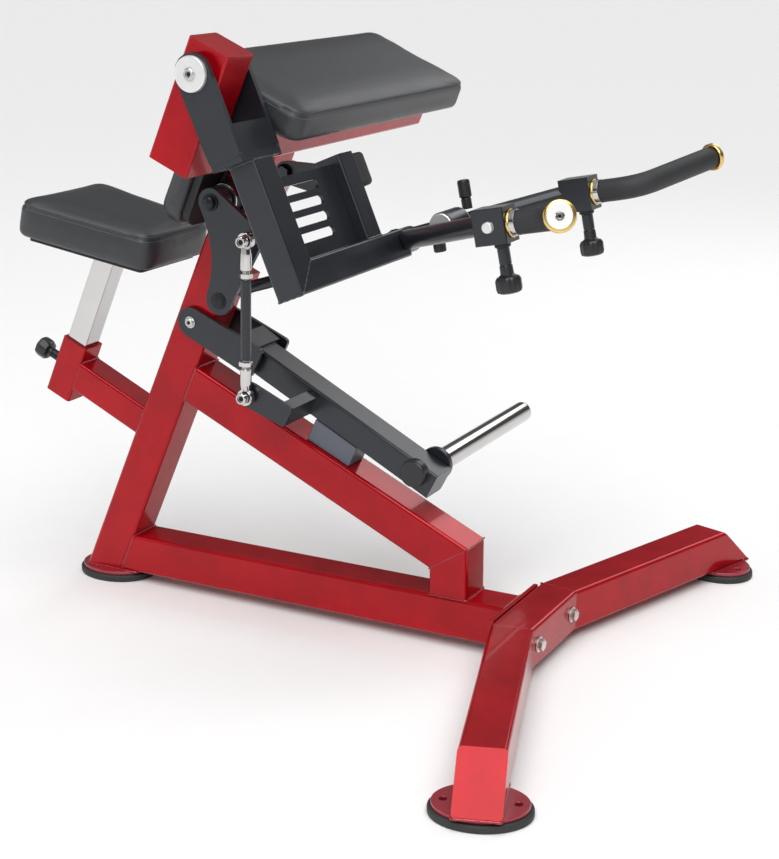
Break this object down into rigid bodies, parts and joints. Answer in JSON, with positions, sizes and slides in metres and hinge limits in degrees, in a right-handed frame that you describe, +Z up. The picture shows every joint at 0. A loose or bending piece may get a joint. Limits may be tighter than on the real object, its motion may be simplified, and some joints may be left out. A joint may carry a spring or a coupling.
{
  "type": "arm curl machine",
  "caption": "Plate-loaded seated arm-curl machine: leaning tube frame on splayed legs, sloped arm pad, chest pad, sliding seat and a handle yoke linked to a weight lever.",
  "frame": {"origin": "on the floor, under the middle of the outline", "axes": "+X forward from the seat to the handles, +Y towards the weight horn's side, +Z up"},
  "size_m": [1.3146, 1.2494, 1.0947],
  "materials": {
    "frame_red": "gloss",
    "black_paint": "satin",
    "foot_rubber": "matt",
    "grip_rubber": "matt",
    "bumper_rubber": "satin",
    "bright_steel": "bright",
    "chrome": "polished",
    "black_vinyl": "satin",
    "pad_board": "matt",
    "black_plastic": "satin"
  },
  "bodies": {
    "frame": {"base_tube": "frame_red", "front_cross_tube": "frame_red", "front_leg_near": "frame_red", "front_leg_far": "frame_red", "front_foot_near": "foot_rubber", "front_foot_far": "foot_rubber", "rear_foot": "foot_rubber", "cross_bolt_near": "bright_steel", "cross_bolt_far": "bright_steel", "upright_tube": "frame_red", "brace_tube": "frame_red", "brace_leg": "frame_red", "pad_beam": "frame_red", "pivot_post": "frame_red", "seat_bracket_tube": "frame_red", "seat_sleeve": "frame_red", "chest_board": "pad_board", "chest_pad": "black_vinyl", "arm_board": "pad_board", "arm_pad": "black_vinyl", "rocker_hub": "bright_steel", "lever_axle": "bright_steel", "lever_bumper": "bumper_rubber", "arm_stop_bracket": "frame_red", "arm_stop_rod": "black_paint", "arm_axle": "bright_steel"},
    "arm": {"arm_yoke": "black_paint", "arm_down_tube": "black_paint", "arm_cross_tube": "black_paint", "arm_gusset": "black_paint", "stop_post": "black_paint", "stop_post_bumper": "grip_rubber", "yoke_hub": "black_paint", "yoke_peg": "black_plastic", "yoke_tube_near": "black_paint", "yoke_tube_far": "black_paint", "handle_block_near": "black_paint", "handle_block_far": "black_paint"},
    "handle_near": {"handle_bar_near": "chrome", "grip_near": "grip_rubber", "end_cap_near": "chrome"},
    "handle_far": {"handle_bar_far": "chrome", "grip_far": "grip_rubber", "end_cap_far": "chrome"},
    "grip_pin_near": {"grip_pin_near": "black_plastic"},
    "grip_pin_far": {"grip_pin_far": "black_plastic"},
    "rocker": {"rocker_plate": "black_paint", "drive_pin": "bright_steel", "tie_pin": "chrome"},
    "drive_link": {"drive_link": "black_paint"},
    "tie_rod": {"tie_rod": "black_paint"},
    "lever": {"lever_yoke": "black_paint", "lever_tube": "black_paint", "lever_outrigger": "black_paint", "weight_horn": "chrome", "lever_end_boss": "black_plastic"},
    "seat": {"seat_post": "chrome", "seat_board": "pad_board", "seat_pad": "black_vinyl"},
    "seat_pin": {"seat_pin": "black_plastic"}
  },
  "joints": [
    {"name": "arm_swing", "type": "hinge", "parent": "frame", "child": "arm", "pos_m": [0.01586, -0.362, 1.03909], "axis": [0, -1, 0], "range_deg": [0, 70]},
    {"name": "rocker_swing", "type": "hinge", "parent": "frame", "child": "rocker", "pos_m": [-0.15904, -0.113, 0.787], "axis": [0, -1, 0], "range_deg": [0, 70]},
    {"name": "drive_link_turn", "type": "hinge", "parent": "rocker", "child": "drive_link", "pos_m": [-0.14804, -0.095, 0.612], "axis": [0, -1, 0], "range_deg": [-80, 0]},
    {"name": "tie_rod_turn", "type": "hinge", "parent": "rocker", "child": "tie_rod", "pos_m": [-0.07604, -0.1355, 0.729], "axis": [0, -1, 0], "range_deg": [-66, 0]},
    {"name": "lever_swing", "type": "hinge", "parent": "frame", "child": "lever", "pos_m": [-0.25714, 0, 0.54764], "axis": [0, -1, 0], "range_deg": [0, 36]},
    {"name": "handle_turn_near", "type": "hinge", "parent": "arm", "child": "handle_near", "pos_m": [0.44145, -0.1775, 0.80834], "axis": [0.9816, 0, 0.1908], "range_deg": [-45, 45]},
    {"name": "handle_turn_far", "type": "hinge", "parent": "arm", "child": "handle_far", "pos_m": [0.44145, 0.1775, 0.80834], "axis": [0.9816, 0, 0.1908], "range_deg": [-45, 45]},
    {"name": "grip_pin_pull_near", "type": "slide", "parent": "arm", "child": "grip_pin_near", "axis": [0.1908, 0, -0.9816], "range_m": [0, 0.012], "stiffness_N_per_m": 900, "springref_m": -0.006},
    {"name": "grip_pin_pull_far", "type": "slide", "parent": "arm", "child": "grip_pin_far", "axis": [0.1908, 0, -0.9816], "range_m": [0, 0.012], "stiffness_N_per_m": 900, "springref_m": -0.006},
    {"name": "seat_height", "type": "slide", "parent": "frame", "child": "seat", "axis": [0.4067, 0, 0.9135], "range_m": [-0.15, 0.025]},
    {"name": "seat_pin_pull", "type": "slide", "parent": "frame", "child": "seat_pin", "axis": [-0.9135, 0, 0.4067], "range_m": [0, 0.014], "stiffness_N_per_m": 900, "springref_m": -0.006}
  ],
  "couplings": [
    {"joint": "rocker_swing", "follows": "arm_swing", "ratio": 0.986},
    {"joint": "drive_link_turn", "follows": "arm_swing", "ratio": -1.115},
    {"joint": "tie_rod_turn", "follows": "arm_swing", "ratio": -0.926},
    {"joint": "lever_swing", "follows": "arm_swing", "ratio": 0.491}
  ]
}
